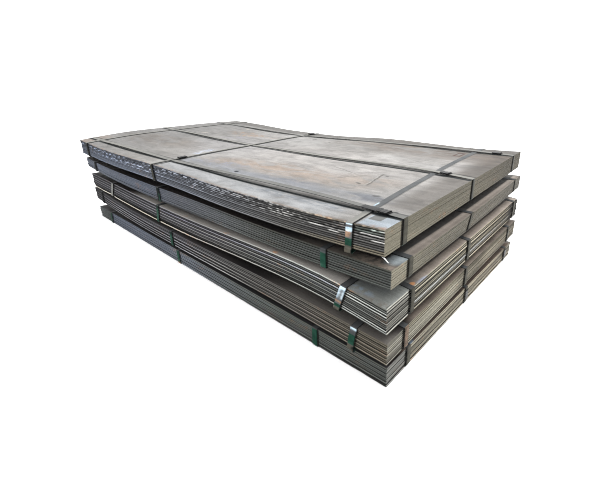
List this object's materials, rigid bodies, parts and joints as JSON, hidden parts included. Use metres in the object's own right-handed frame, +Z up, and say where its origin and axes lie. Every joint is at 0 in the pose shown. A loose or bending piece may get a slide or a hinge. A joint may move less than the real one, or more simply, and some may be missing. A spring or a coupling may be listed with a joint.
{
  "type": "stack of strapped steel plates",
  "caption": "Free-standing stack of strapped bundles of flat hot-rolled steel plate, piled on one another with battens between them.",
  "frame": {"origin": "on the floor under the middle of the stack's bounding box", "axes": "+X along the plates (their length), +Y across the plates (their width), +Z up"},
  "size_m": [3.0386, 1.5315, 0.7186],
  "materials": {
    "plates_1": "hot-rolled, blue-grey mill scale with rust-tan stains",
    "plates_2": "hot-rolled, blue-grey mill scale with rust-tan stains",
    "plates_3": "hot-rolled, blue-grey mill scale with rust-tan stains",
    "plates_4": "hot-rolled, blue-grey mill scale with rust-tan stains",
    "plates_5": "hot-rolled, blue-grey mill scale with rust-tan stains",
    "strap": "dark green glossy steel strapping, scuffed",
    "seal": "bright crimped sheet steel",
    "batten": "rough-sawn grey-brown softwood"
  },
  "bodies": {
    "root": {"batten_2_left": "batten", "batten_2_right": "batten", "batten_3_left": "batten", "batten_3_right": "batten", "batten_4_left": "batten", "batten_4_right": "batten", "batten_5_left": "batten", "batten_5_right": "batten", "bundle_1_cross_strap_d": "strap", "bundle_1_cross_strap_e": "strap", "bundle_1_cross_strap_f": "strap", "bundle_1_long_strap_a": "strap", "bundle_1_long_strap_b": "strap", "bundle_1_long_strap_c": "strap", "bundle_1_plates": "plates_1", "bundle_1_seal_a": "seal", "bundle_1_seal_b": "seal", "bundle_1_seal_c": "seal", "bundle_1_seal_e": "seal", "bundle_1_seal_e_far": "seal", "bundle_2_cross_strap_d": "strap", "bundle_2_cross_strap_e": "strap", "bundle_2_cross_strap_f": "strap", "bundle_2_long_strap_a": "strap", "bundle_2_long_strap_b": "strap", "bundle_2_long_strap_c": "strap", "bundle_2_plates": "plates_2", "bundle_3_cross_strap_d": "strap", "bundle_3_cross_strap_e": "strap", "bundle_3_cross_strap_f": "strap", "bundle_3_long_strap_a": "strap", "bundle_3_long_strap_b": "strap", "bundle_3_long_strap_c": "strap", "bundle_3_plates": "plates_3", "bundle_4_cross_strap_d": "strap", "bundle_4_cross_strap_e": "strap", "bundle_4_cross_strap_f": "strap", "bundle_4_long_strap_a": "strap", "bundle_4_long_strap_b": "strap", "bundle_4_long_strap_c": "strap", "bundle_4_plates": "plates_4", "bundle_5_cross_strap_d": "strap", "bundle_5_cross_strap_e": "strap", "bundle_5_cross_strap_f": "strap", "bundle_5_long_strap_a": "strap", "bundle_5_long_strap_b": "strap", "bundle_5_long_strap_c": "strap", "bundle_5_plates": "plates_5", "bundle_5_seal_b": "seal", "bundle_5_seal_c": "seal"}
  },
  "joints": []
}
